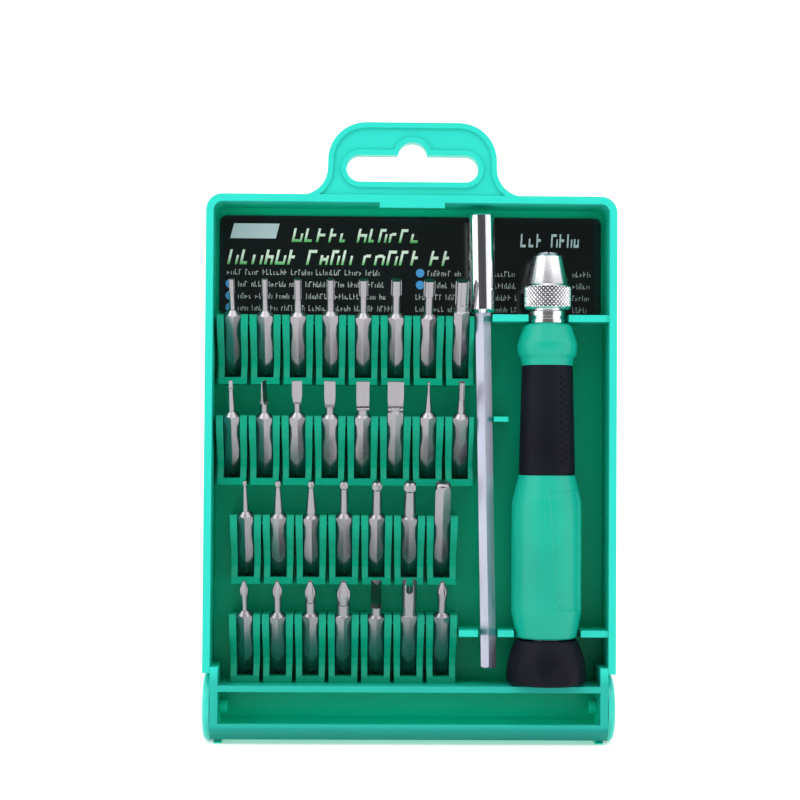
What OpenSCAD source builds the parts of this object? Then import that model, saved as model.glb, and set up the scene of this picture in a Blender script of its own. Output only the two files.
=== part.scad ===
// Precision screwdriver set: a moulded hang-up case with four leaning bit racks, thirty 4 mm hex bits,
// a hex bit holder, a swivel-cap screwdriver with a collet chuck, and a lid that folds back as a stand.
// Millimetres. X is across the case, -Y is its open front, +Z is up. The case stands on its feet at z = 0.

/* [Case] */
// Outer width of the case
case_w = 107.5; // [104:0.5:112]
// Height of the top edge of the case above the feet
case_top = 143.3; // [142.5:0.1:145]
// Depth of the case from its rim to the outside of its back
case_depth = 17; // [16.8:0.1:17.4]
// Thickness of the case's side walls and rim
wall = 1.95; // [1.8:0.05:2]
// Thickness of the back wall
back_wall = 2; // [1.8:0.1:2.2]
// Radius of the two upper outer corners
corner_r = 4.3; // [3:0.1:6]

/* [Hang handle] */
// Width of the handle
handle_w = 44.2; // [42:0.2:48]
// Height of the handle's top edge
handle_top = 162.3; // [160:0.1:166]
// Radius of the handle's upper corners
handle_r = 10; // [8:0.5:10]
// Width of the hang slot
slot_w = 34.5; // [30:0.5:35]
// Height of the hang slot
slot_h = 7; // [6:0.5:8]

/* [Racks] */
// Distance from one bit to the next
bit_pitch = 8.58; // [8.5:0.02:8.6]
// Width of one rack cell at its foot
cell_w = 7.5; // [7.3:0.1:7.6]
// Width of one rack cell at its top
cell_top_w = 8.2; // [7.8:0.1:8.2]
// Angle at which the bits lean forwards
lean = 27.5; // [26:0.5:29]
// Width of the pocket that takes a bit
pocket_w = 4.4; // [4.35:0.05:4.6]

/* [Bits] */
// Hexagon of the bits, across flats
hex_af = 4; // [4:0.01:4.02]
// Length of a bit
bit_len = 28; // [26:0.5:29]

/* [Lid] */
// Depth of the lid
lid_depth = 10; // [9.8:0.1:10.5]
// Thickness of the lid's walls
lid_wall = 1.85; // [1.7:0.05:1.9]
// Angle by which the lid opens, from closed to folded back
lid_open = 262.15; // [262.1:0.05:262.2]

/* [Screwdriver] */
// Position of the screwdriver's axis across the case
driver_x = 35.9; // [35.7:0.1:36.1]
// Greatest diameter of the handle
driver_d = 18.4; // [18:0.1:18.6]
// Diameter of the swivel cap
cap_d = 20.8; // [20:0.1:20.8]
// Radial running clearance of parts that turn or slide in each other
running = 0.06; // [0.04:0.01:0.08]

/* [Hidden] */
$fn = 96;
half_w = case_w / 2;
inner_y = case_depth - back_wall;
// shelf, drawer trough and hinge
shelf_z = 13.8;
shelf_t = 1.6;
shelf_top = shelf_z + shelf_t;
side_wall_z = 18.6;
pivot_y = 9;
pivot_z = 9.2;
cheek_out = 51.75;
cheek_in = 49.7;
cheek_top = 20.2;
pin_r = 1.5;
// rows of bits: height of each rack's top, centre of its first cell, and number of cells
row_top = [112.0, 85.5, 59.5, 33.6];
row_x = [-46.9, -46.9, -43.03, -43.03];
row_n = [8, 8, 7, 7];
rack_h = 18.2;
rack_right = 16.55;
peg_r = 1.5;
peg_gap = 0.05;
base_y = 12.2;
base_z = -15.9;
// lid, in its closed place
lid_back = -0.2;
lid_front = lid_back - lid_depth;
lid_top = 143.2;
ear_in = 51.9;
ear_r = 9;
seat_gap = 0.2;
fold = lid_open - 180;
// screwdriver and bit holder
driver_y = 4.3;
cap_z = 15.7;
cap_top = 27.3;
handle_z = 27.8;
core_r = 5.4;
spigot_r = 3.5;
axle_r = 2;
axle_hole_top = 42;
collet_r = 2.8;
thread_r = 4.2;
grip_z0 = 70.3;
grip_z1 = 99.1;
bulb_top = 109.9;
holder_x = 20.87;
holder_y = 5.5;
holder_z = 19.6;
holder_tilt = -1.214;
socket_z = 93.3;
socket_len = 26.2;
// the case stands centred on the origin: front of the cap to the far end of the folded lid
front_y = driver_y - cap_d / 2;
rear_y = pivot_y + (pivot_y - lid_front) * cos(fold) + (lid_top - pivot_z) * sin(fold);
shift_y = -(front_y + rear_y) / 2;

green = [0.10, 0.74, 0.58];
black = [0.06, 0.06, 0.07];
steel = [0.74, 0.75, 0.77];
chrome = [0.85, 0.86, 0.88];

// name, row, cell, tip, tip size, neck diameter, tip length, turn in the pocket, hexagon length
BITS = [
    ["bit_star_t4", 0, 0, "star", 1.45, 1.6, 4.0, 8, 19.3],
    ["bit_star_t5", 0, 1, "star", 1.5, 1.8, 5.0, -2, 19.2],
    ["bit_star_t6", 0, 2, "star", 1.9, 2.3, 5.6, 3, 19.2],
    ["bit_star_t7", 0, 3, "star", 2.0, 2.2, 5.6, -3, 19.5],
    ["bit_star_t8", 0, 4, "star", 2.4, 2.0, 4.4, 2, 18.9],
    ["bit_star_t10", 0, 5, "star", 2.8, 2.2, 4.1, -4, 19.0],
    ["bit_star_t15", 0, 6, "star", 3.1, 2.4, 4.2, 4, 18.9],
    ["bit_star_t20", 0, 7, "star", 3.6, 3.7, 6.6, 2, 20.6],
    ["bit_slot_1_5", 1, 0, "slot", 0.9, 2.0, 2.2, 0, 19.3],
    ["bit_slot_2_0", 1, 1, "slot", 1.9, 1.9, 6.4, 58, 19.0],
    ["bit_slot_2_5", 1, 2, "slot", 2.6, 1.9, 6.2, 4, 19.2],
    ["bit_slot_3_0", 1, 3, "slot", 2.9, 2.4, 7.0, -3, 19.0],
    ["bit_slot_3_5", 1, 4, "slot", 3.4, 3.2, 7.6, 3, 19.3],
    ["bit_slot_4_0", 1, 5, "slot", 4.2, 3.8, 7.6, 0, 20.8],
    ["bit_pin", 1, 6, "pin", 0.7, 1.8, 3.0, 2, 19.4],
    ["bit_five_lobe", 1, 7, "lobe", 1.6, 2.1, 5.0, -4, 19.2],
    ["bit_hex_0_9", 2, 0, "hex", 0.9, 1.7, 1.4, -3, 19.2],
    ["bit_hex_1_3", 2, 1, "hex", 1.3, 2.5, 1.6, 2, 19.0],
    ["bit_hex_1_5", 2, 2, "hex", 1.5, 2.9, 1.8, 4, 18.8],
    ["bit_hex_2_0", 2, 3, "hex", 2.0, 2.2, 2.0, -2, 19.0],
    ["bit_hex_2_5", 2, 4, "hex", 2.5, 2.6, 2.3, 3, 19.0],
    ["bit_hex_3_0", 2, 5, "hex", 3.0, 3.4, 2.6, -3, 18.8],
    ["bit_hex_4_0", 2, 6, "hex", 4.0, 4.0, 2.8, 2, 28],
    ["bit_cross_00", 3, 0, "cross", 2.3, 1.6, 5.0, -2, 19.3],
    ["bit_cross_0", 3, 1, "cross", 2.7, 2.0, 5.2, 3, 18.9],
    ["bit_cross_1", 3, 2, "cross", 3.0, 2.8, 6.0, -4, 19.2],
    ["bit_cross_2", 3, 3, "cross", 3.9, 3.6, 6.6, 4, 19.2],
    ["bit_triangle", 3, 4, "tri", 3.2, 3.0, 7.4, 2, 18.9],
    ["bit_fork", 3, 5, "fork", 3.9, 3.8, 6.8, 0, 19.4],
    ["bit_three_wing", 3, 6, "wing", 3.0, 2.3, 5.4, -3, 19.2]
];

// ---------- helpers ----------

function arc(cx, cy, r, a0, a1, n) = [for (i = [0:n]) let (a = a0 + (a1 - a0) * i / n)
    [cx + r * cos(a), cy + r * sin(a)]];

function mirror_x(points) = [for (i = [len(points) - 1:-1:0]) [-points[i][0], points[i][1]]];

// everything is drawn with the rim at y = 0 and then moved to stand centred on the origin
module placed() { translate([0, shift_y, 0]) children(); }

// an outline in X and Z, extruded from y0 to y1
module from_front(y0, y1) { translate([0, y1, 0]) rotate([90, 0, 0]) linear_extrude(y1 - y0) children(); }

// an outline in Y and Z, extruded from x0 to x1
module from_side(x0, x1) {
    translate([x0, 0, 0]) rotate([90, 0, 90]) linear_extrude(x1 - x0) children();
}

// a box given by its two corners
module block(a, b) { translate(a) cube(b - a); }

module both_sides() {
    children();
    mirror([1, 0, 0]) children();
}

// a rectangle with all four corners rounded
module round_rect(x0, z0, x1, z1, r) {
    polygon(concat(arc(x1 - r, z0 + r, r, -90, 0, 8), arc(x1 - r, z1 - r, r, 0, 90, 8),
                   arc(x0 + r, z1 - r, r, 90, 180, 8), arc(x0 + r, z0 + r, r, 180, 270, 8)));
}

// a rectangle with only its upper corners rounded
module arch_rect(hw, z0, z1, r) {
    side = arc(hw - r, z1 - r, r, 0, 90, 10);
    polygon(concat([[hw, z0]], side, mirror_x(side), [[-hw, z0]]));
}

module hexagon(af) { rotate(90) circle(r = af / sqrt(3), $fn = 6); }

// ---------- case ----------

module handle_outline(inset) {
    flare_in = 7.2;
    flare_r = flare_in + inset;
    flare_x = handle_w / 2 + flare_in;
    flare_z = 150.3;
    flare_end = 76.4;
    right = concat([[flare_x - flare_r * cos(flare_end), case_top - 1]],
                   arc(flare_x, flare_z, flare_r, 180 + flare_end, 180, 8),
                   arc(handle_w / 2 - handle_r, handle_top - handle_r, handle_r - inset, 0, 90, 10));
    polygon(concat(right, mirror_x(right)));
}

module hang_slot(extra) {
    slot_r = slot_h / 2;
    slot_z = 150.2;
    notch_z = 153.2;
    notch_r = 3.9;
    for (side = [-1, 1])
        translate([side * (slot_w / 2 - slot_r), slot_z]) circle(r = slot_r + extra);
    translate([-slot_w / 2 + slot_r, slot_z - slot_r - extra])
        square([slot_w - slot_h, slot_h + 2 * extra]);
    translate([0, notch_z]) circle(r = notch_r + extra);
}

module hang_handle() {
    handle_t = 4;
    border = 1.4;
    recess = 0.8;
    difference() {
        from_front(0, handle_t) handle_outline(0);
        from_front(-1, handle_t + 1) hang_slot(0);
        from_front(-1, 0.8 * recess) handle_panel(border);
        from_front(handle_t - recess, handle_t + 1) handle_panel(border);
    }
}

// the sunk field inside the handle's raised border
module handle_panel(border) {
    difference() {
        handle_outline(border);
        hang_slot(border);
        translate([-half_w, case_top - 10]) square([case_w, 10]);
    }
}

// upper rib beside the screwdriver's neck, middle stub and lower rib with its rest for the handle
module ribs() {
    rib_front = 0.8;
    rib_end = half_w - wall;
    neck_r = 5.3;
    rest_r = 8.75;
    upper_z = 110.5;
    lower_z = 28.2;
    difference() {
        block([21.3, rib_front, upper_z], [rib_end, inner_y, upper_z + 1.8]);
        translate([driver_x, driver_y, upper_z - 1]) cylinder(r = neck_r, h = 4);
        block([driver_x - neck_r, -1, upper_z - 1], [driver_x + neck_r, driver_y, upper_z + 3]);
    }
    block([21.8, 2.5, 84.3], [25.6, inner_y, 85.6]);
    difference() {
        block([12.9, rib_front, lower_z], [rib_end, inner_y, lower_z + 1.7]);
        block([17.8, -1, lower_z - 1], [23.05, 8.2, lower_z + 3]);
        block([driver_x - rest_r, -1, lower_z - 1], [driver_x + rest_r, driver_y, lower_z + 3]);
        translate([driver_x, driver_y, lower_z - 1]) cylinder(r = rest_r, h = 4);
    }
}

// lower outline of the case seen from the side, up to a height at its back
function base_outline(top) = [[0, 3.6], [2.4, 1.2], [15.4, 1.2], [case_depth, 2.8], [case_depth, top]];

// the open trough under the shelf, with a scooped floor
module trough() {
    difference() {
        from_side(-cheek_in, cheek_in)
            polygon(concat(base_outline(side_wall_z + 1.4),
                [[inner_y, side_wall_z + 1.4], [inner_y, shelf_top], [0, shelf_top], [0, shelf_z],
                 [inner_y, shelf_z], [inner_y, 5.5], [0, 5.5]]));
        intersection() {
            translate([-cheek_in, 8.2, 13.8]) rotate([0, 90, 0]) cylinder(r = 10.6, h = 2 * cheek_in);
            block([-cheek_in, 1.6, 1], [cheek_in, inner_y, shelf_z - 0.01]);
        }
    }
}

// thick lower side walls that carry the lid's hinge pins
module cheeks() {
    both_sides() difference() {
        from_side(cheek_in, cheek_out)
            polygon(concat(base_outline(cheek_top), [[0, cheek_top]]));
        translate([cheek_in - 1, pivot_y, pivot_z]) rotate([0, 90, 0])
            cylinder(r = pin_r + running, h = 4);
    }
}

module feet() {
    both_sides() from_side(48.8, 50.8)
        polygon([[3.2, 1.4], [3.6, 0], [14.4, 0], [14.8, 1.4]]);
}

// two round snap pegs hold each rack to the back wall
module rack_pegs(row, r, y0, y1) {
    first = row_x[row] + bit_pitch / 2;
    last = row_x[row] + (row_n[row] - 1.5) * bit_pitch;
    for (x = [first, last])
        translate([x, y1, row_top[row] - rack_h / 2]) rotate([90, 0, 0])
            cylinder(r = r, h = y1 - y0);
}

module tray() {
    color(green) placed() difference() {
        union() {
            difference() {
                from_front(0, case_depth) arch_rect(half_w, side_wall_z, case_top, corner_r);
                from_front(-1, inner_y)
                    arch_rect(half_w - wall, side_wall_z - 1, case_top - wall, corner_r - wall);
            }
            hang_handle();
            ribs();
            trough();
            cheeks();
            feet();
            // snap tab for the lid's latch
            block([-8.5, 0, case_top - wall - 1.4], [8.5, 1.2, case_top - wall + 0.5]);
        }
        for (row = [0:3]) rack_pegs(row, peg_r + peg_gap, inner_y - 1, case_depth + 1);
    }
}

module label_card() {
    color(black) placed() from_front(inner_y - 0.5, inner_y) round_rect(-51.2, 112.7, 51.2, 139.3, 2);
}

// ---------- bit racks ----------

// side view of a cell, with z = 0 at its top
module cell_profile() {
    polygon([[inner_y, 0], [3.6, 0], [3.2, -0.5], [3.5, -3.6], [4.6, -6], [6.8, -9], [8, -11.6],
             [7.8, -13.6], [7, -15.2], [6.3, -16.4], [6.2, -rack_h], [inner_y, -rack_h]]);
}

// the leaning pocket: a back plane behind the bit, a square floor under it and a level lip in front
module pocket_profile() {
    back = 2.45;
    under = 0.15;
    by = base_y + back * cos(lean) + under * sin(lean);
    bz = base_z + back * sin(lean) - under * cos(lean);
    lip_y = 9.3;
    lip_z = -16.4;
    up = 30;
    polygon([[by, bz], [lip_y, bz - (by - lip_y) * tan(lean)], [lip_y, lip_z], [0, lip_z], [0, 6],
             [by - up * sin(lean), bz + up * cos(lean)]]);
}

// front view of a row of cells that widen towards their tops
module cell_fronts(row) {
    foot = cell_w / 2;
    top = cell_top_w / 2;
    for (i = [0:row_n[row] - 1]) translate([row_x[row] + i * bit_pitch, 0])
        polygon([[-foot, -rack_h], [foot, -rack_h], [foot, 2 - rack_h], [top, 0], [-top, 0],
                 [-foot, 2 - rack_h]]);
}

module rack(row) {
    n = row_n[row];
    web = cell_w / 2 - 0.2;
    x_end = row_x[row] + (n - 1) * bit_pitch + cell_w / 2;
    color(green) placed() {
        translate([0, 0, row_top[row]]) {
            difference() {
                intersection() {
                    from_side(-half_w, rack_right) cell_profile();
                    from_front(0, inner_y) cell_fronts(row);
                }
                for (i = [0:n - 1]) translate([row_x[row] + i * bit_pitch, 0, 0])
                    from_side(-pocket_w / 2, pocket_w / 2) pocket_profile();
            }
            // webs between the cells, and the sheet behind them
            for (i = [0:n - 2]) translate([row_x[row] + i * bit_pitch, 0, 0])
                block([web, 4.4, -2.5], [bit_pitch - web, inner_y, -1.7]);
            block([row_x[row] - cell_w / 2, inner_y - 0.6, -rack_h], [x_end, inner_y, 0]);
        }
        rack_pegs(row, peg_r, inner_y - 0.1, case_depth);
    }
}

module bit_rack_1() { rack(0); }
module bit_rack_2() { rack(1); }
module bit_rack_3() { rack(2); }
module bit_rack_4() { rack(3); }

// ---------- bits ----------

// 4 mm hexagon with a rounded foot and a 45 degree shoulder
module hex_shank(shoulder_z) {
    r_max = hex_af / sqrt(3) + 0.01;
    intersection() {
        linear_extrude(shoulder_z) hexagon(hex_af);
        rotate_extrude() polygon(concat([[0, 0], [1.5, 0]], arc(1.5, 0.9, 0.9, -90, 0, 6),
            [[r_max, 1.3], [r_max, shoulder_z - 1.35], [0.9, shoulder_z], [0, shoulder_z]]));
    }
}

module lobed(size, lobes, depth) {
    difference() {
        circle(r = size / 2);
        for (i = [0:lobes - 1]) rotate((i + 0.5) * 360 / lobes)
            translate([size * (0.5 + 0.13 * depth), 0]) circle(r = size * 0.19 * depth, $fn = 24);
    }
}

// a pointed tip with wings: V grooves run up the cone and leave a slim core between the wings
module winged_tip(size, length, wings) {
    slope = atan(0.36 * size / length);
    core = size * 0.16;
    difference() {
        rotate_extrude() polygon([[0, 0], [size * 0.42, 0], [size / 2, length * 0.45],
            [size * 0.47, length * 0.6], [core, length], [0, length]]);
        for (i = [0:wings - 1]) rotate((i + 0.5) * 360 / wings)
            translate([core, 0, length]) rotate([0, -slope, 0]) translate([0, 0, -length * 1.1])
                linear_extrude(length * 1.4) polygon([[0, 0], [size, -size * 0.9], [size, size * 0.9]]);
    }
}

// a flat blade, hollow ground out of the round neck
module slot_blade(width, neck, length) {
    end_t = max(0.25, width * 0.12);
    root = length * 0.36;
    scoop = [for (a = [0:15:90]) [end_t + (neck / 2 - end_t) * (1 - sin(a)), root * (1 - cos(a))]];
    side = concat(scoop, [[end_t / 2, length]]);
    intersection() {
        from_front(-4, 4)
            polygon([[-neck / 2, 0], [neck / 2, 0], [width / 2, root], [width / 2, length],
                     [-width / 2, length], [-width / 2, root]]);
        from_side(-4, 4) polygon(concat(side, mirror_x(side)));
    }
}

module bit_tip(kind, size, neck, length) {
    if (kind == "star") linear_extrude(length) lobed(size, 6, 1);
    if (kind == "lobe") linear_extrude(length) lobed(size, 5, 0.9);
    if (kind == "slot") slot_blade(size, neck, length);
    if (kind == "cross") winged_tip(size, length, 4);
    if (kind == "wing") winged_tip(size, length, 3);
    if (kind == "tri") linear_extrude(length) rotate(-90) circle(r = size / 2, $fn = 3);
    if (kind == "pin") cylinder(r = size / 2, h = length);
    if (kind == "hex") intersection() {
        linear_extrude(length) hexagon(size);
        rotate_extrude() polygon([[0, 0], [size * 0.46, 0], [size * 0.59, length * 0.3],
            [size * 0.59, length - 0.25 * size], [size * 0.34, length], [0, length]]);
    }
    if (kind == "fork") difference() {
        cylinder(r = size / 2, h = length);
        from_front(-size, size) {
            translate([0, length * 0.62 + size * 0.22]) circle(r = size * 0.22, $fn = 24);
            translate([-size * 0.22, length * 0.62 + size * 0.22]) square([size * 0.44, length]);
        }
    }
}

// diameter at which the neck meets the tip
function neck_end(kind, size, neck) = kind == "slot" ? min(neck, size * 1.3)
    : (kind == "hex" ? size * 0.92 : min(size, neck));

module bit_solid(kind, size, neck, length, hex_len) {
    tip_z = bit_len - length;
    neck_z = hex_len - 1.5;
    end_d = neck_end(kind, size, neck);
    end_r = end_d / 2 + 0.02;
    if (hex_len >= bit_len) full_hexagon();
    else {
        hex_shank(hex_len);
        rotate_extrude() polygon([[0, neck_z], [neck / 2, neck_z], [neck / 2, hex_len + 0.4],
            [end_r, max(tip_z, hex_len + 0.5)], [end_r, max(tip_z, hex_len + 0.5) + 0.05],
            [0, max(tip_z, hex_len + 0.5) + 0.05]]);
        translate([0, 0, tip_z]) bit_tip(kind, size, end_d, length);
    }
}

// the largest hex bit is one plain hexagon with both ends rounded
module full_hexagon() {
    r_max = hex_af / sqrt(3) + 0.01;
    intersection() {
        linear_extrude(bit_len) hexagon(hex_af);
        rotate_extrude() polygon(concat([[0, 0], [1.5, 0]], arc(1.5, 0.9, 0.9, -90, 0, 6),
            [[r_max, 1.3], [r_max, bit_len - 2.2]], arc(0.9, bit_len - 1.2, 1.2, 10, 90, 6),
            [[0, bit_len]]));
    }
}

module bit(b) {
    color(steel) placed()
        translate([row_x[b[1]] + b[2] * bit_pitch, base_y, row_top[b[1]] + base_z])
            rotate([lean, 0, 0]) rotate(b[7]) bit_solid(b[3], b[4], b[5], b[6], b[8]);
}

// ---------- lid ----------

// the lid is drawn closed and folded back about the hinge axis
module folded() {
    placed() translate([0, pivot_y, pivot_z]) rotate([lid_open, 0, 0])
        translate([0, -pivot_y, -pivot_z]) children();
}

// height of the slanted end wall at depth y, which lies flat against the case's back when folded
function end_wall_z(y) = pivot_z
    + (case_depth + seat_gap - pivot_y + (y - pivot_y) * cos(fold)) / sin(fold);

module cover_frame() {
    plate_t = 1.6;
    inner_front = lid_front + plate_t;
    end_t = 1.8;
    cap_room = 0.9;
    color(green) folded() {
        difference() {
            union() {
                difference() {
                    from_front(lid_front, lid_back) arch_rect(half_w, 5, lid_top, corner_r);
                    from_front(inner_front, 1) arch_rect(ear_in, 4, lid_top - lid_wall, corner_r - lid_wall);
                }
                // slanted end wall
                from_side(-ear_in - 0.4, ear_in + 0.4)
                    polygon([[lid_back, end_wall_z(lid_back) - 2], [lid_back, end_wall_z(lid_back) + end_t],
                             [lid_front + 0.4, end_wall_z(lid_front) + end_t],
                             [lid_front + 0.4, end_wall_z(lid_front) - 2]]);
                // catch block that clicks against the snap tab
                block([-8, inner_front - 0.2, 138.5], [8, lid_back - 0.1, lid_top - lid_wall + 0.2]);
                // grip ridges on the top edge
                for (i = [-3:3])
                    block([i * 2.6 - 0.5, lid_front + 2, lid_top - 0.5],
                          [i * 2.6 + 0.5, lid_back - 1, lid_top + 0.4]);
            }
            // window opening and the rebate that the panel is bonded into
            from_front(-20, 0) round_rect(-45.5, 25, 45.5, 133, 4);
            from_front(lid_front + 0.6, 0) round_rect(-47.6, 22.9, 47.6, 135.1, 5);
            from_side(-60, 60)
                polygon([[1, 0], [1, end_wall_z(1)], [-12, end_wall_z(-12)], [-12, 0]]);
            // notch that clears the screwdriver's cap when the lid is shut
            block([driver_x - cap_d / 2 - cap_room, front_y - cap_room, 8],
                  [driver_x + cap_d / 2 + cap_room, 1, 22]);
        }
        ears();
    }
}

module ears() {
    edge = 1.1;
    ear_t = half_w - ear_in;
    both_sides() difference() {
        union() {
            translate([ear_in, pivot_y, pivot_z]) rotate([0, 90, 0])
                rotate_extrude() polygon(concat([[0, 0], [ear_r, 0]],
                    arc(ear_r - edge, ear_t - edge, edge, 0, 90, 6), [[0, ear_t]]));
            from_side(ear_in, half_w)
                polygon([[pivot_y, pivot_z], [lid_back, pivot_z], [lid_back, end_wall_z(lid_back) + 0.05],
                         [lid_back - 3, end_wall_z(lid_back) + 0.05], [lid_back - 3, pivot_z + ear_r],
                         [pivot_y, pivot_z + ear_r]]);
        }
        translate([ear_in - 1, pivot_y, pivot_z]) rotate([0, 90, 0]) cylinder(r = pin_r, h = 1 + 1.3);
    }
}

module cover_window() {
    color([0.85, 0.93, 0.95, 0.35]) folded()
        from_front(lid_front + 0.6, lid_front + 1.7) round_rect(-47.5, 23, 47.5, 135, 4.9);
}

module hinge_pin() {
    head_r = 2;
    head_t = 2;
    translate([cheek_in - 0.1, pivot_y, pivot_z]) rotate([0, 90, 0]) {
        cylinder(r = pin_r, h = ear_in - cheek_in + 0.1 + 1.3);
        translate([0, 0, -head_t]) rotate_extrude() polygon(concat([[0, 0]],
            [[head_r - 0.5, 0], [head_r - 0.15, 0.15], [head_r, 0.5], [head_r, head_t], [0, head_t]]));
    }
}

module hinge_pin_right() { color(green) placed() hinge_pin(); }
module hinge_pin_left() { color(green) placed() mirror([1, 0, 0]) hinge_pin(); }

// ---------- screwdriver ----------

module on_driver(z) { placed() translate([driver_x, driver_y, z]) children(); }

module driver_handle() {
    r = driver_d / 2;
    color(green) on_driver(0) difference() {
        rotate_extrude() polygon([[0, handle_z], [7.5, handle_z], [7.95, handle_z + 0.4], [r - 0.3, 33],
            [r, 35], [r, 60], [r - 0.1, 63.5], [7.4, grip_z0], [core_r, grip_z0], [core_r, grip_z1],
            [6.65, grip_z1], [6.9, 100.9], [7.6, 101.9], [7.8, 102.8], [7.85, 104.9], [6.45, 109.3],
            [5.9, bulb_top], [0, bulb_top]]);
        translate([0, 0, 98]) cylinder(r = spigot_r, h = 20);
        translate([0, 0, handle_z - 1]) cylinder(r = axle_r, h = axle_hole_top - handle_z + 1);
    }
}

module driver_grip() {
    color(black) on_driver(0) difference() {
        rotate_extrude() polygon([[core_r, grip_z0], [7.1, grip_z0], [7.4, 70.8], [7.35, 73], [6.75, 97.5],
            [6.7, 98.8], [6.45, grip_z1], [core_r, grip_z1]]);
        // rows of small finger dimples moulded round the grip
        for (row = [0:4], k = [0:5]) rotate(k * 60 + row * 30) translate([0, -7.6, 76 + row * 4.4])
            sphere(r = 0.9, $fn = 16);
    }
}

module driver_collar() {
    color(chrome) on_driver(0) difference() {
        rotate_extrude() polygon([[0, 98.5], [spigot_r, 98.5], [spigot_r, bulb_top], [4.4, bulb_top],
            [4.75, 110.3], [4.75, 111.2], [4.5, 111.4], [4.5, 111.9], [4.75, 112.1], [4.75, 113.2],
            [4.4, 113.5], [thread_r, 113.5], [thread_r, 119], [0, 119]]);
        translate([0, 0, 106]) cylinder(r = collet_r + running, h = 20);
    }
}

module chuck_sleeve() {
    color(chrome) on_driver(0) difference() {
        rotate_extrude() polygon([[0, 113.8], [5.6, 113.8], [6.2, 114.4], [6.2, 119.8], [5.8, 120.3],
            [5.55, 120.4], [3.85, 127.8], [3.5, 128.1], [0, 128.1]]);
        translate([0, 0, 113]) cylinder(r = thread_r + running, h = 6.6);
        translate([0, 0, 113]) cylinder(r = collet_r + running, h = 16);
    }
}

module chuck_collet() {
    color(steel) on_driver(0) difference() {
        rotate_extrude() polygon([[0, 107], [2.5, 107], [collet_r, 107.4], [collet_r, 128.5],
            [2.6, 128.8], [0, 128.8]]);
        translate([0, 0, 116.5]) linear_extrude(13) hexagon(hex_af + 0.08);
        for (a = [0, 90]) rotate(a) block([-0.2, -3, 119], [0.2, 3, 130]);
    }
}

module driver_cap() {
    r = cap_d / 2;
    foot_r = 1.5;
    flats = 8;
    flat_at = r - 0.32;
    color(black) on_driver(0) difference() {
        intersection() {
            rotate_extrude() polygon(concat([[0, cap_z]], arc(r - foot_r, cap_z + foot_r, foot_r, -90, 0, 6),
                [[r, 19.1], [r - 0.27, 21.1], [r - 0.75, 23.1], [r - 1.4, 25.1], [r - 2.1, 26.9],
                 [r - 2.5, cap_top], [0, cap_top]]));
            // shallow arched finger flats round the cap
            rotate(-6.5) cylinder(r = flat_at / cos(180 / flats), h = 40, $fn = flats);
        }
        translate([0, 0, cap_z - 1]) cylinder(r = axle_r + running, h = 15);
        translate([0, 0, cap_z - 1]) cylinder(r = 3.8, h = 1 + 3.2);
    }
}

module cap_washer() {
    color(steel) on_driver(27.4) difference() {
        cylinder(r = 4.5, h = 0.3);
        translate([0, 0, -1]) cylinder(r = axle_r + 0.04, h = 3);
    }
}

module cap_axle() {
    color(steel) on_driver(0) difference() {
        union() {
            translate([0, 0, 18]) cylinder(r = axle_r, h = axle_hole_top - 18.5);
            rotate_extrude() polygon([[0, 16.6], [2.6, 16.6], [3.4, 17.3], [3.4, 18.7], [0, 18.7]]);
        }
        translate([0, 0, 16]) for (a = [0, 90]) rotate(a) block([-0.4, -1.7, 0], [0.4, 1.7, 1.8]);
    }
}

// ---------- bit holder ----------

module on_holder(z) {
    placed() translate([holder_x, holder_y, holder_z]) rotate([0, holder_tilt, 0])
        translate([0, 0, z]) children();
}

module holder_socket() {
    color(chrome) on_holder(socket_z) difference() {
        rotate_extrude() polygon([[0, 0], [2.7, 0], [3.5, 0.9], [3.5, socket_len - 0.5],
            [3.1, socket_len], [0, socket_len]]);
        translate([0, 0, -1]) linear_extrude(11) hexagon(hex_af + 0.04);
        translate([0, 0, socket_len - 11]) linear_extrude(12) hexagon(hex_af + 0.08);
        translate([0, 0, socket_len - 13.2]) cylinder(r = 2, h = 3);
    }
}

module holder_shaft() {
    color(steel) on_holder(0) intersection() {
        linear_extrude(socket_z + 9.9) hexagon(hex_af);
        rotate_extrude() polygon([[0, 0], [1.7, 0], [2.4, 0.7], [2.4, socket_z + 9.2],
            [1.7, socket_z + 9.9], [0, socket_z + 9.9]]);
    }
}

module holder_magnet() {
    color([0.5, 0.5, 0.52]) on_holder(socket_z + socket_len - 13.2) cylinder(r = 1.97, h = 2);
}

tray();
label_card();
bit_rack_1();
bit_rack_2();
bit_rack_3();
bit_rack_4();
cover_frame();
cover_window();
hinge_pin_left();
hinge_pin_right();
driver_handle();
driver_grip();
driver_collar();
chuck_sleeve();
chuck_collet();
driver_cap();
cap_washer();
cap_axle();
holder_socket();
holder_shaft();
holder_magnet();
for (b = BITS) bit(b);
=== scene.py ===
import math
import random

import bmesh
import bpy
from mathutils import Matrix, Vector


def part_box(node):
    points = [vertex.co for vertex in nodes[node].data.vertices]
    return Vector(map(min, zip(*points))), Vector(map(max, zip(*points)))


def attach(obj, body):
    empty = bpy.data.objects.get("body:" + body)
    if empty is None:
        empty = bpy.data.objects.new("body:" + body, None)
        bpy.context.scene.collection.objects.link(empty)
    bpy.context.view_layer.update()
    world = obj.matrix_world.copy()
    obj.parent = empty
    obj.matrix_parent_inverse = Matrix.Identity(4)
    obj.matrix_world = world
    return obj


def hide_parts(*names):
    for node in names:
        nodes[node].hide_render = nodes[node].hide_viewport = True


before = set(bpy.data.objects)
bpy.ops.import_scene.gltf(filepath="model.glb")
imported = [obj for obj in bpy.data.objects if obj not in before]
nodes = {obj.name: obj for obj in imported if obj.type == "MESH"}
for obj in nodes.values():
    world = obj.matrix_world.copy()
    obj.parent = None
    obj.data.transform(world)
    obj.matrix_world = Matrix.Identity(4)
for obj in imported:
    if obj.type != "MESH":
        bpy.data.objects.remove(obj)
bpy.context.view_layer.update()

MM = 0.001


# ---------------------------------------------------------------- places, from the frame

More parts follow.
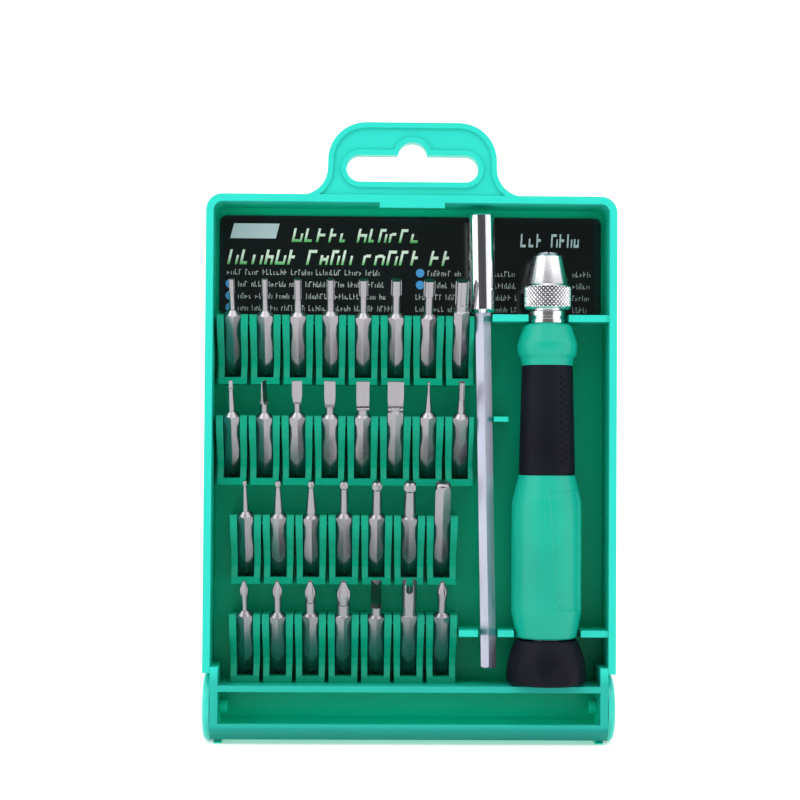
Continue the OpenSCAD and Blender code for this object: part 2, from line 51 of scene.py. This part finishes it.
tray_lo, tray_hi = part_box("tray")
card_lo, card_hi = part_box("label_card")
handle_lo, handle_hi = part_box("driver_handle")
RIM_Y = tray_lo.y                       # the open front of the case
INNER_X = tray_hi.x - 0.0018            # inner face of a side wall
BACK_Y = card_hi.y + 0.0004             # inner face of the back wall
INNER_TOP = 0.1414                      # inner face of the top wall
SHELF_TOP = 0.0139                      # top of the shelf over the trough
TROUGH_LOW = 0.004                      # where the painted bounce light on the trough's floor starts to fade upwards
EAR_TOP = 0.0190                        # above this, the front no longer gets painted shade
DRIVER_X = (handle_lo.x + handle_hi.x) / 2
DRIVER_Y = (handle_lo.y + handle_hi.y) / 2


# ---------------------------------------------------------------- node helpers

class Nodes:
    """A small helper that adds shader nodes and links them by name."""

    def __init__(self, name):
        self.material = bpy.data.materials.new(name)
        self.material.use_nodes = True
        self.tree = self.material.node_tree
        self.shader = next(n for n in self.tree.nodes if n.type == "BSDF_PRINCIPLED")
        self.coords = self.tree.nodes.new("ShaderNodeTexCoord")

    def add(self, kind, **values):
        node = self.tree.nodes.new("ShaderNode" + kind)
        if "data_type" in values:
            node.data_type = values.pop("data_type")
        for key, value in values.items():
            if hasattr(node, key):
                setattr(node, key, value)
            else:
                node.inputs[key.replace("_", " ")].default_value = value
        return node

    def link(self, a, b):
        self.tree.links.new(a, b)

    def set(self, **values):
        for key, value in values.items():
            self.shader.inputs[key.replace("_", " ")].default_value = value

    def noise(self, scale, detail=3.0, stretch=(1, 1, 1)):
        mapping = self.add("Mapping")
        mapping.inputs["Scale"].default_value = stretch
        self.link(self.coords.outputs["Object"], mapping.inputs["Vector"])
        tex = self.add("TexNoise")
        tex.inputs["Scale"].default_value = scale
        tex.inputs["Detail"].default_value = detail
        self.link(mapping.outputs["Vector"], tex.inputs["Vector"])
        return tex

    def ramp(self, source, stops):
        ramp = self.add("ValToRGB")
        while len(ramp.color_ramp.elements) < len(stops):
            ramp.color_ramp.elements.new(0.5)
        for element, (place, colour) in zip(ramp.color_ramp.elements, stops):
            element.position = place
            element.color = (*colour, 1)
        self.link(source, ramp.inputs["Fac"])
        return ramp

    def span(self, source, low, high):
        spread = self.add("MapRange")
        spread.inputs["To Min"].default_value = low
        spread.inputs["To Max"].default_value = high
        self.link(source, spread.inputs["Value"])
        return spread

    def bump(self, source, strength, distance):
        bump = self.add("Bump")
        bump.inputs["Strength"].default_value = strength
        bump.inputs["Distance"].default_value = distance
        self.link(source, bump.inputs["Height"])
        self.link(bump.outputs["Normal"], self.shader.inputs["Normal"])

    def multiply(self, a, b):
        """One colour output times another."""
        mix = self.add("Mix", data_type="RGBA", blend_type="MULTIPLY")
        mix.inputs["Factor"].default_value = 1.0
        self.link(a, mix.inputs["A"])
        self.link(b, mix.inputs["B"])
        return mix.outputs["Result"]

    def uneven_gloss(self, source, low, high):
        """Roughness that wanders between low and high."""
        self.link(self.span(source, low, high).outputs["Result"], self.shader.inputs["Roughness"])


DRIFT_SCALE = 60.0            # noise scales, per metre: slow colour drift, moulded grain, gloss patches
GRAIN_SCALE = 2600.0
PATCH_SCALE = 180.0
GRAIN_STRENGTH = 0.35
GRAIN_DEPTH = 0.00002
GLOSS_LOW, GLOSS_HIGH = 0.8, 1.25


def plastic(name, colour, rough=0.32, grain=GRAIN_SCALE, grain_depth=GRAIN_DEPTH, spread=0.10, coat=0.15,
            shine=0.3):
    """Moulded plastic: faint colour drift, fine moulded grain and uneven gloss."""
    m = Nodes(name)
    dark = tuple(c * (1 - spread) for c in colour)
    light = tuple(min(1, c * (1 + spread * 0.6)) for c in colour)
    drift = m.noise(DRIFT_SCALE, 2.0)
    ramp = m.ramp(drift.outputs["Fac"], [(0.25, dark), (0.75, light)])
    m.link(ramp.outputs["Color"], m.shader.inputs["Base Color"])
    m.bump(m.noise(grain, 2.0).outputs["Fac"], GRAIN_STRENGTH, grain_depth)
    m.uneven_gloss(m.noise(PATCH_SCALE, 3.0).outputs["Fac"], rough * GLOSS_LOW, rough * GLOSS_HIGH)
    m.set(IOR=1.49, Coat_Weight=coat, Coat_Roughness=0.18, Specular_IOR_Level=shine)
    return m.material


def moulding_with_painted_shade(name, front, deep, painted_bounce_colour, rough=0.30):
    """Moulded plastic with painted shade: darker and richer with depth behind the rim, dimmer low on the front, and a
    painted bounce light on the trough's floor that fades up into the painted shade.
    """
    m = Nodes(name)
    split = m.add("SeparateXYZ")
    m.link(m.coords.outputs["Object"], split.inputs["Vector"])

    def step(source, edge, above=True):
        node = m.add("Math", operation="GREATER_THAN" if above else "LESS_THAN")
        node.inputs[1].default_value = edge
        m.link(source, node.inputs[0])
        return node.outputs["Value"]

    def times(a, b):
        node = m.add("Math", operation="MULTIPLY")
        m.link(a, node.inputs[0])
        m.link(b, node.inputs[1])
        return node.outputs["Value"]

    width = m.add("Math", operation="ABSOLUTE")
    m.link(split.outputs["X"], width.inputs[0])
    inside = times(step(width.outputs["Value"], INNER_X, False), step(split.outputs["Y"], BACK_Y, False))
    inside = times(inside, step(split.outputs["Z"], INNER_TOP, False))
    # painted shade: inside the case the colour darkens from the front colour to the deep colour with depth behind the
    # rim
    depth = m.add("MapRange")
    depth.inputs["From Min"].default_value = RIM_Y + 0.0006
    depth.inputs["From Max"].default_value = BACK_Y - 0.001
    m.link(split.outputs["Y"], depth.inputs["Value"])
    between = tuple((a * b) ** 0.5 for a, b in zip(front, deep))
    depth_painted_shade = m.ramp(depth.outputs["Result"], [(0.0, front), (0.35, between), (0.9, deep)])
    # painted shade: the front is dimmed low down, below EAR_TOP, within a few millimetres of the rim
    low = m.add("MapRange")
    low.inputs["From Max"].default_value = EAR_TOP
    m.link(split.outputs["Z"], low.inputs["Value"])
    low_painted_shade = m.ramp(low.outputs["Result"], [(0.0, (0.42,) * 3), (0.22, (0.48,) * 3), (0.26, (0.68,) * 3),
                                               (0.85, (0.72,) * 3), (1.0, (1.0,) * 3)])
    near = m.add("MapRange")
    near.inputs["From Min"].default_value = RIM_Y + 0.012
    near.inputs["From Max"].default_value = RIM_Y + 0.003
    m.link(split.outputs["Y"], near.inputs["Value"])

    def with_low_painted_shade(source=None):
        """The source colour, or else the front colour, with painted shade low on the front."""
        node = m.add("Mix", data_type="RGBA", blend_type="MULTIPLY")
        m.link(near.outputs["Result"], node.inputs["Factor"])
        node.inputs["A"].default_value = (*front, 1)
        if source:
            m.link(source, node.inputs["A"])
        m.link(low_painted_shade.outputs["Color"], node.inputs["B"])
        return node.outputs["Result"]

    # painted light: the trough is lighter at its floor, fading up into the deep painted shade at the shelf
    height = m.add("MapRange")
    height.inputs["From Min"].default_value = TROUGH_LOW
    height.inputs["From Max"].default_value = SHELF_TOP
    m.link(split.outputs["Z"], height.inputs["Value"])
    trough_painted_bounce = m.ramp(height.outputs["Result"], [(0.0, painted_bounce_colour), (1.0, deep)])
    trough = m.add("Mix", data_type="RGBA")
    m.link(times(step(split.outputs["Z"], SHELF_TOP, False), step(split.outputs["Y"], RIM_Y + 0.0035)),
           trough.inputs["Factor"])
    m.link(with_low_painted_shade(depth_painted_shade.outputs["Color"]), trough.inputs["A"])
    m.link(trough_painted_bounce.outputs["Color"], trough.inputs["B"])
    mix = m.add("Mix", data_type="RGBA")
    m.link(inside, mix.inputs["Factor"])
    m.link(with_low_painted_shade(), mix.inputs["A"])
    m.link(trough.outputs["Result"], mix.inputs["B"])
    tone = m.span(m.noise(DRIFT_SCALE, 2.0).outputs["Fac"], 0.95, 1.04)
    m.link(m.multiply(mix.outputs["Result"], tone.outputs["Result"]), m.shader.inputs["Base Color"])
    m.bump(m.noise(GRAIN_SCALE, 2.0).outputs["Fac"], GRAIN_STRENGTH, GRAIN_DEPTH)
    m.uneven_gloss(m.noise(PATCH_SCALE, 3.0).outputs["Fac"], rough * GLOSS_LOW, rough * GLOSS_HIGH)
    m.set(IOR=1.45, Specular_IOR_Level=0.10)
    return m.material


def metal(name, colour, rough, brush_scale=(1, 1, 1), brush=1500.0, depth=0.000008, spread=0.12, shade_grooves=False):
    """Plated metal: fine drawn lines, slight tone changes and uneven polish; the groove option paints shade into
    narrow grooves.
    """
    m = Nodes(name)
    dark = tuple(c * (1 - spread) for c in colour)
    tone = m.noise(220.0, 4.0, brush_scale)
    skin = m.ramp(tone.outputs["Fac"], [(0.3, dark), (0.7, colour)]).outputs["Color"]
    if shade_grooves:
        # painted shade: narrow grooves are darkened
        groove_painted_shade = m.ramp(m.add("NewGeometry").outputs["Pointiness"], [(0.44, (0.10, 0.10, 0.11)), (0.52, (1, 1, 1))])
        skin = m.multiply(skin, groove_painted_shade.outputs["Color"])
    m.link(skin, m.shader.inputs["Base Color"])
    lines = m.noise(brush, 2.0, brush_scale)
    m.bump(lines.outputs["Fac"], 0.3, depth)
    m.uneven_gloss(lines.outputs["Fac"], rough * 0.6, rough * 1.5)
    m.set(Metallic=1.0)
    return m.material


GREEN = (0.026, 0.550, 0.450)
# the deep green below is painted shade for the inside of the case
PAINTED_SHADE_GREEN = (0.0006, 0.385, 0.210)
# the floor green below is painted bounce light for the trough's floor
PAINTED_BOUNCE_GREEN = (0.004, 0.85, 0.60)
HANDLE_GREEN = (0.004, 0.340, 0.240)

# the case and the racks get painted shade by depth behind the rim and low on the front, and painted bounce light in
# the trough
case_green = moulding_with_painted_shade("case_green", GREEN, PAINTED_SHADE_GREEN, PAINTED_BOUNCE_GREEN)
rack_green = moulding_with_painted_shade("rack_green", (0.006, 0.310, 0.200), (0.0006, 0.240, 0.130), PAINTED_BOUNCE_GREEN)
lid_green = plastic("lid_green", GREEN)
handle_green = plastic("handle_green", HANDLE_GREEN, rough=0.30, grain=3200.0, coat=0.0, shine=0.25)
soft_grip = plastic("soft_grip", (0.006, 0.006, 0.011), rough=0.45, spread=0.3, coat=0.0, shine=0.08)
cap_black = plastic("cap_black", (0.006, 0.006, 0.011), rough=0.38, spread=0.3, coat=0.0, shine=0.08)
card_black = plastic("printed_card", (0.004, 0.008, 0.008), rough=0.12, grain=900.0,
                     grain_depth=0.00001, spread=0.4, coat=0.6)
chrome = metal("chrome_plate", (0.82, 0.83, 0.86), 0.09, (1, 1, 0.08))
aluminium = metal("polished_aluminium", (0.88, 0.88, 0.90), 0.16, (0.05, 0.05, 1.0))
tool_steel = metal("tool_steel", (0.40, 0.41, 0.50), 0.32, (1, 1, 0.06), depth=0.000002)
bit_steel = metal("bit_steel", (0.31, 0.295, 0.315), 0.22, (1, 1, 0.15), brush=5000.0, depth=0.0000004,
                  spread=0.06)
# the knurl's grooves get painted shade
knurled = metal("knurled_aluminium", (0.80, 0.80, 0.82), 0.20, (0.05, 0.05, 1.0), shade_grooves=True)
magnet_metal = metal("magnet", (0.38, 0.38, 0.40), 0.35)


def clear_plastic():
    m = Nodes("clear_plastic")
    haze = m.noise(400.0, 3.0)
    m.uneven_gloss(haze.outputs["Fac"], 0.02, 0.07)
    m.bump(haze.outputs["Fac"], 0.05, 0.00001)
    m.set(Base_Color=(0.93, 0.97, 0.96, 1), IOR=1.49, Transmission_Weight=0.95)
    return m.material


clear = clear_plastic()

LOOKS = {
    "tray": case_green, "cover_frame": lid_green, "hinge_pin_left": case_green, "hinge_pin_right": case_green,
    "label_card": card_black, "cover_window": clear, "driver_handle": handle_green, "driver_grip": soft_grip,
    "driver_cap": cap_black, "driver_collar": aluminium, "chuck_sleeve": aluminium, "chuck_collet": tool_steel,
    "cap_axle": tool_steel, "cap_washer": tool_steel, "holder_socket": chrome, "holder_shaft": tool_steel,
    "holder_magnet": magnet_metal,
}
for name in nodes:
    if name.startswith("bit_rack"):
        LOOKS[name] = rack_green
    elif name.startswith("bit_"):
        LOOKS[name] = bit_steel


def crisp(mesh, degrees):
    """Smooth shading that breaks at the mesh's real edges."""
    if "custom_normal" in mesh.attributes:
        mesh.attributes.remove(mesh.attributes["custom_normal"])
    for face in mesh.polygons:
        face.use_smooth = True
    mesh.set_sharp_from_angle(angle=math.radians(degrees))


BIT_SHARP = 19          # degrees; the hexagon's end cones meet its flats at little more than this
BODY_SHARP = 30         # the same for every other node
RACK_ROUND, BIT_ROUND = 0.3, 0.07       # edge rounding, in millimetres
ROUND = {"tray": 0.35, "cover_frame": 0.35, "label_card": 0.08, "cover_window": 0.15, "chuck_collet": 0.08,
         "driver_collar": 0.08, "holder_socket": 0.12, "holder_shaft": 0.12, "cap_axle": 0.1}
for name, obj in nodes.items():
    is_bit = LOOKS[name] is bit_steel
    crisp(obj.data, BIT_SHARP if is_bit else BODY_SHARP)
    obj.data.materials.clear()
    obj.data.materials.append(LOOKS[name])
    if is_bit:
        width = BIT_ROUND
    elif name.startswith("bit_rack"):
        width = RACK_ROUND
    else:
        width = ROUND.get(name)
    if width:
        bevel = obj.modifiers.new("edges", "BEVEL")
        bevel.width = width * MM
        bevel.segments = 2
        bevel.limit_method = "ANGLE"
        bevel.angle_limit = math.radians(35)
        bevel.harden_normals = True
        bevel.use_clamp_overlap = True
    # big flats keep their own normal, so that a hexagon's sides don't look rounded
    if is_bit:
        flat = obj.modifiers.new("flat_facets", "WEIGHTED_NORMAL")
        flat.weight = 80
        flat.keep_sharp = True

# ---------------------------------------------------------------- new pieces

def link(name, mesh, look, body):
    obj = bpy.data.objects.new(name, mesh)
    bpy.context.scene.collection.objects.link(obj)
    if look is not None:
        mesh.materials.append(look)
    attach(obj, body)
    return obj


def rows_between(profile, step):
    """The profile with extra points, so that no row is taller than step; both in millimetres."""
    rows = [profile[0]]
    for (r0, z0), (r1, z1) in zip(profile, profile[1:]):
        count = max(1, math.ceil(math.hypot(r1 - r0, z1 - z0) / step))
        rows += [(r0 + (r1 - r0) * i / count, z0 + (z1 - z0) * i / count) for i in range(1, count + 1)]
    return rows


def turned(name, rows, around, closed, relief=None):
    """A turned body on the screwdriver's axis; relief(angle, r, z) gives how deep its skin is cut, in mm."""
    bm = bmesh.new()
    rings = []
    for r, z in rows:
        ring = []
        for k in range(around):
            a = 2 * math.pi * k / around
            cut = relief(a, r, z) if relief else 0.0
            ring.append(bm.verts.new((DRIVER_X + (r - cut) * MM * math.sin(a),
                                      DRIVER_Y - (r - cut) * MM * math.cos(a), z * MM)))
        rings.append(ring)
    pairs = list(zip(rings, rings[1:])) + ([(rings[-1], rings[0])] if closed else [])
    for low, high in pairs:
        for k in range(around):
            j = (k + 1) % around
            bm.faces.new((low[k], low[j], high[j], high[k]))
    if not closed:
        bm.faces.new(list(reversed(rings[0])))
        bm.faces.new(rings[-1])
    bmesh.ops.recalc_face_normals(bm, faces=bm.faces)
    mesh = bpy.data.meshes.new(name)
    bm.to_mesh(mesh)
    bm.free()
    return mesh


def soft_step(t):
    t = min(1.0, max(0.0, t))
    return t * t * (3 - 2 * t)


def wave(t):
    """0 in a groove and 1 midway between two grooves."""
    return abs((t % 1.0) - 0.5) * -2 + 1


KNURL_STARTS = 34
KNURL_PITCH = 1.15
KNURL_LOW, KNURL_HIGH = 114.5, 119.7
KNURL_DEPTH = 0.42


def knurl(angle, r, z):
    """Diamond knurling on the sleeve's thick ring."""
    if r < 6.1 or not KNURL_LOW <= z <= KNURL_HIGH:
        return 0.0
    u = angle / (2 * math.pi) * KNURL_STARTS
    v = (z - KNURL_LOW) / KNURL_PITCH
    height = min(1.0, 1.35 * min(wave(u + v), wave(u - v)))
    return KNURL_DEPTH * (1 - height)


SLEEVE = [(2.86, 119.6), (2.86, 128.1), (3.5, 128.1), (3.85, 127.8), (5.55, 120.4), (5.8, 120.3), (6.2, 119.8)]
SLEEVE_FOOT = [(6.2, 114.4), (5.6, 113.8), (4.26, 113.8)]
sleeve_rows = SLEEVE + rows_between([(6.2, 119.8), (6.2, 114.4)], 0.09)[1:] + SLEEVE_FOOT[1:]
sleeve = link("chuck_sleeve_knurled", turned("chuck_sleeve_knurled", sleeve_rows, KNURL_STARTS * 8, True, knurl),
              knurled, "chuck_sleeve")
crisp(sleeve.data, 20)
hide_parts("chuck_sleeve")

DOT_RADIUS = 0.5
DOT_GAP = 1.7
DOT_COLUMNS = [math.radians(a + b) for a in (0, 120, 240) for b in (27, 38)]


def grip_dots(angle, r, z):
    """Columns of small dimples that the fingers feel."""
    cut = 0.0
    for i, column in enumerate(DOT_COLUMNS):
        across = ((angle - column + math.pi) % (2 * math.pi) - math.pi) * r
        if abs(across) > DOT_RADIUS or not 73 < z < 96:
            continue
        along = ((z + (i % 2) * DOT_GAP / 2) % DOT_GAP) - DOT_GAP / 2
        far = math.hypot(across, along) / DOT_RADIUS
        cut = max(cut, 0.55 * (1 - soft_step(far)))
    return cut


GRIP = [(5.5, 99.1), (6.45, 99.1), (6.7, 98.8), (6.75, 97.5), (7.35, 73.0), (7.4, 70.8), (7.1, 70.3), (5.5, 70.3)]
grip = link("driver_grip_dotted", turned("driver_grip_dotted", rows_between(GRIP, 0.22), 260, True, grip_dots),
            soft_grip, "driver")
crisp(grip.data, 50)
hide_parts("driver_grip")


def handle_panel(angle, r, z):
    """A long shallow panel that narrows towards the cap, with a small oval pad at its lower end."""
    turn = (angle + math.pi) % (2 * math.pi) - math.pi
    if not 34 < z < 68:
        return 0.0
    left = math.radians(-2 + (66 - z) / 30 * 13)
    right = math.radians(66)
    inside = min((turn - left) * r, (right - turn) * r, z - 35.2, 66.6 - z)
    depth = 0.42 * soft_step(inside / 0.55)
    pad = math.hypot((turn - math.radians(17)) * r / 1.5, (z - 37.6) / 1.0)
    return depth * (1 - 0.8 * (1 - soft_step((pad - 0.7) / 0.6)))


HANDLE = [(0.02, 27.8), (7.5, 27.8), (7.95, 28.2), (8.9, 33.0), (9.14, 34.2), (9.2, 35.2), (9.2, 60.0), (9.17, 62.0),
          (9.1, 63.5), (7.4, 70.3), (5.4, 70.32), (5.4, 99.1), (6.65, 99.1), (6.9, 100.9), (7.6, 101.9), (7.8, 102.8),
          (7.87, 103.8), (7.85, 104.9), (6.45, 109.3), (5.9, 109.9), (0.02, 109.9)]
handle = link("driver_handle_panelled", turned("driver_handle_panelled", rows_between(HANDLE, 0.5), 200, False,
                                                handle_panel), handle_green, "driver")
crisp(handle.data, 24)
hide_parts("driver_handle")


# ---------------------------------------------------------------- the card's print

def print_ink(name, colour, rough=0.35, fade_to=None, low=0.0, high=1.0):
    m = Nodes(name)
    if fade_to:
        split = m.add("SeparateXYZ")
        m.link(m.coords.outputs["Object"], split.inputs["Vector"])
        span = m.add("MapRange")
        span.inputs["From Min"].default_value = low
        span.inputs["From Max"].default_value = high
        m.link(split.outputs["Z"], span.inputs["Value"])
        ramp = m.ramp(span.outputs["Result"], [(0.0, colour), (1.0, fade_to)])
    else:
        speck = m.noise(3000.0, 2.0)
        ramp = m.ramp(speck.outputs["Fac"], [(0.3, tuple(c * 0.85 for c in colour)), (0.7, colour)])
    m.link(ramp.outputs["Color"], m.shader.inputs["Base Color"])
    m.set(Roughness=rough)
    return m.material


INKS = [print_ink("ink_grey", (0.42, 0.46, 0.45)), print_ink("ink_blue", (0.06, 0.36, 0.75)),
        print_ink("ink_title", (0.02, 0.42, 0.06), 0.35, (0.75, 0.88, 0.75), 0.1323, 0.1343),
        print_ink("ink_title_low", (0.02, 0.42, 0.06), 0.35, (0.75, 0.88, 0.75), 0.1261, 0.1283),
        print_ink("ink_pale", (0.62, 0.72, 0.78))]
GREY, BLUE, TITLE, TITLE_LOW, PALE = range(5)
PRINT_Y = card_lo.y - 0.00004


class Print:
    """Flat inked shapes, in millimetres across and up the card."""

    def __init__(self, seed):
        self.bm = bmesh.new()
        self.dice = random.Random(seed)

    def shape(self, points, ink):
        face = self.bm.faces.new([self.bm.verts.new((x * MM, PRINT_Y, z * MM)) for x, z in points])
        face.material_index = ink

    def bar(self, x0, z0, x1, z1, ink, lean=0.0):
        shift = (z1 - z0) * lean
        self.shape([(x0, z0), (x1, z0), (x1 + shift, z1), (x0 + shift, z1)], ink)

    def disc(self, x, z, r, ink):
        self.shape([(x + r * math.cos(a), z + r * math.sin(a))
                    for a in (2 * math.pi * k / 24 for k in range(24))], ink)

    def line(self, x0, x1, z, height, ink, stroke, lean=0.0):
        """A row of unreadable strokes in word-like groups."""
        x = x0
        left = self.dice.randint(3, 8)
        while x < x1 - stroke * 3:
            width = stroke * self.dice.uniform(2.4, 3.6)
            low = self.dice.choice((0.0, 0.0, 0.35)) * height
            self.bar(x, z, x + stroke, z + height - low, ink, lean)
            kind = self.dice.random()
            if kind < 0.75:
                level = self.dice.choice((0.0, 0.42, 0.8)) * (height - low)
                start = x + stroke * 0.9 + level * lean
                self.bar(start, z + level, start + width - stroke, z + level + height * 0.2, ink, lean)
            if kind > 0.45:
                self.bar(x + width - stroke * 0.1, z, x + width + stroke * 0.8, z + height * 0.62, ink, lean)
            x += width + stroke * 1.8
            left -= 1
            if left == 0:
                x += height * 0.55
                left = self.dice.randint(3, 8)

    def mesh(self, name):
        mesh = bpy.data.meshes.new(name)
        self.bm.normal_update()
        for face in self.bm.faces:
            if face.normal.y > 0:
                face.normal_flip()
        self.bm.to_mesh(mesh)
        self.bm.free()
        for ink in INKS:
            mesh.materials.append(ink)
        return mesh


ink = Print(7)
ink.bar(-48.4, 133.2, -36.2, 137.2, PALE, 0.25)
ink.line(-32.0, 2.4, 132.3, 3.7, TITLE, 0.62, 0.22)
ink.line(-49.2, 12.0, 126.2, 4.0, TITLE_LOW, 0.66, 0.22)
ink.line(-49.2, -8.5, 123.4, 1.5, GREY, 0.2)
for level in (120.2, 117.0, 113.8):
    ink.disc(-48.4, level + 0.8, 1.15, BLUE)
    ink.line(-46.2, -6.0 if level > 115 else -3.0, level, 1.5, GREY, 0.2)
for level in (123.4, 120.2):
    ink.disc(2.6, level + 0.8, 1.15, BLUE)
for level in (123.4, 120.2, 117.0, 113.8):
    ink.line(4.6 if level > 118 else 1.4, 14.0, level, 1.5, GREY, 0.2)
    ink.line(22.5, 29.0, level, 1.5, GREY, 0.2)
    ink.line(43.6, 48.6, level, 1.5, GREY, 0.2)
ink.line(29.5, 46.5, 131.4, 3.6, PALE, 0.42, 0.05)
card_print = link("card_print", ink.mesh("card_print"), None, "case")

# ---------------------------------------------------------------- stage, light and camera

VIEW_WIDTH = 0.2083       # width seen by the camera in the rim's plane
DISTANCE = 0.490
AIM = Vector((-0.0029, RIM_Y, 0.0897))
YAW = math.radians(-1.2)
PITCH = math.radians(-1.5)
ROLL = math.radians(0.37)


def add_camera():
    data = bpy.data.cameras.new("camera")
    data.lens = 36.0 * DISTANCE / VIEW_WIDTH
    data.sensor_width = 36.0
    data.clip_start = 0.01
    data.clip_end = 20
    cam = bpy.data.objects.new("camera", data)
    bpy.context.scene.collection.objects.link(cam)
    away = Vector((math.sin(YAW) * math.cos(PITCH), -math.cos(YAW) * math.cos(PITCH), math.sin(PITCH)))
    cam.location = AIM + away * DISTANCE
    facing = (-away).to_track_quat("-Z", "Y").to_matrix().to_4x4()
    cam.matrix_world = Matrix.Translation(cam.location) @ facing @ Matrix.Rotation(ROLL, 4, "Z")
    bpy.context.scene.camera = cam


def add_floor():
    """A pale floor that sweeps up into the backdrop."""
    m = Nodes("floor")
    drift = m.noise(3.0, 2.0)
    ramp = m.ramp(drift.outputs["Fac"], [(0.3, (0.86, 0.86, 0.86)), (0.7, (0.90, 0.90, 0.90))])
    m.link(ramp.outputs["Color"], m.shader.inputs["Base Color"])
    m.link(ramp.outputs["Color"], m.shader.inputs["Emission Color"])
    m.set(Roughness=0.85, Emission_Strength=0.30)
    reach = 3.0             # in front, to each side and up
    back, bend, steps = 1.6, 0.6, 12
    profile = [(-reach, 0.0)]
    for i in range(steps + 1):
        a = math.pi / 2 * i / steps
        profile.append((back - bend + bend * math.sin(a), bend - bend * math.cos(a)))
    profile.append((back, reach))
    bm = bmesh.new()
    rows = [[bm.verts.new((x, y, z)) for x in (-reach, reach)] for y, z in profile]
    for a, b in zip(rows, rows[1:]):
        bm.faces.new((a[0], a[1], b[1], b[0]))
    mesh = bpy.data.meshes.new("floor")
    bm.to_mesh(mesh)
    bm.free()
    for p in mesh.polygons:
        p.use_smooth = True
    mesh.materials.append(m.material)
    floor = bpy.data.objects.new("floor", mesh)
    bpy.context.scene.collection.objects.link(floor)


def add_light(name, place, target, size, power):
    data = bpy.data.lights.new(name, "AREA")
    data.shape = "RECTANGLE"
    data.size, data.size_y = size
    data.energy = power
    light = bpy.data.objects.new(name, data)
    bpy.context.scene.collection.objects.link(light)
    light.location = place
    light.rotation_euler = (Vector(target) - Vector(place)).to_track_quat("-Z", "Y").to_euler()


# the tent's brightness from the front (0) to the back (1), and the heights between which its roof fades in
TENT = [(0.0, 0.10), (0.16, 0.16), (0.34, 0.62), (0.50, 1.0), (1.0, 1.0)]
ROOF_LOW, ROOF_HIGH = 0.22, 0.50
TENT_STRENGTH = 0.85


def add_world():
    """A light tent: bright walls at the sides and above, and a dim front where the camera stands."""
    world = bpy.data.worlds.new("studio")
    world.use_nodes = True
    bpy.context.scene.world = world
    tree = world.node_tree
    background = tree.nodes["Background"]
    coords = tree.nodes.new("ShaderNodeTexCoord")
    split = tree.nodes.new("ShaderNodeSeparateXYZ")
    tree.links.new(coords.outputs["Generated"], split.inputs["Vector"])
    ramp = tree.nodes.new("ShaderNodeValToRGB")
    while len(ramp.color_ramp.elements) < len(TENT):
        ramp.color_ramp.elements.new(0.5)
    for element, (place, grey) in zip(ramp.color_ramp.elements, TENT):
        element.position = place
        element.color = (grey, grey, grey, 1)
    span = tree.nodes.new("ShaderNodeMapRange")
    span.inputs["From Min"].default_value = -1.0
    tree.links.new(split.outputs["Y"], span.inputs["Value"])
    tree.links.new(span.outputs["Result"], ramp.inputs["Fac"])
    roof = tree.nodes.new("ShaderNodeMapRange")
    roof.inputs["From Min"].default_value = ROOF_LOW
    roof.inputs["From Max"].default_value = ROOF_HIGH
    tree.links.new(split.outputs["Z"], roof.inputs["Value"])
    mix = tree.nodes.new("ShaderNodeMix")
    mix.data_type = "RGBA"
    tree.links.new(roof.outputs["Result"], mix.inputs["Factor"])
    tree.links.new(ramp.outputs["Color"], mix.inputs["A"])
    mix.inputs["B"].default_value = (1, 1, 1, 1)
    tree.links.new(mix.outputs["Result"], background.inputs["Color"])
    background.inputs["Strength"].default_value = TENT_STRENGTH


add_camera()
add_floor()
add_world()
centre = (0, RIM_Y, 0.08)
add_light("left", (-0.75, RIM_Y - 0.38, 0.35), centre, (0.9, 1.3), 5.0)
add_light("right", (0.75, RIM_Y - 0.42, 0.30), centre, (0.9, 1.3), 4.0)
add_light("top", (-0.1, RIM_Y - 0.42, 0.85), centre, (1.3, 0.7), 4.5)
add_light("backdrop", (0.0, 0.4, 1.3), (0, 1.6, 0.3), (1.6, 0.6), 11.0)

scene = bpy.context.scene
scene.view_settings.view_transform = "Standard"
scene.view_settings.look = "None"
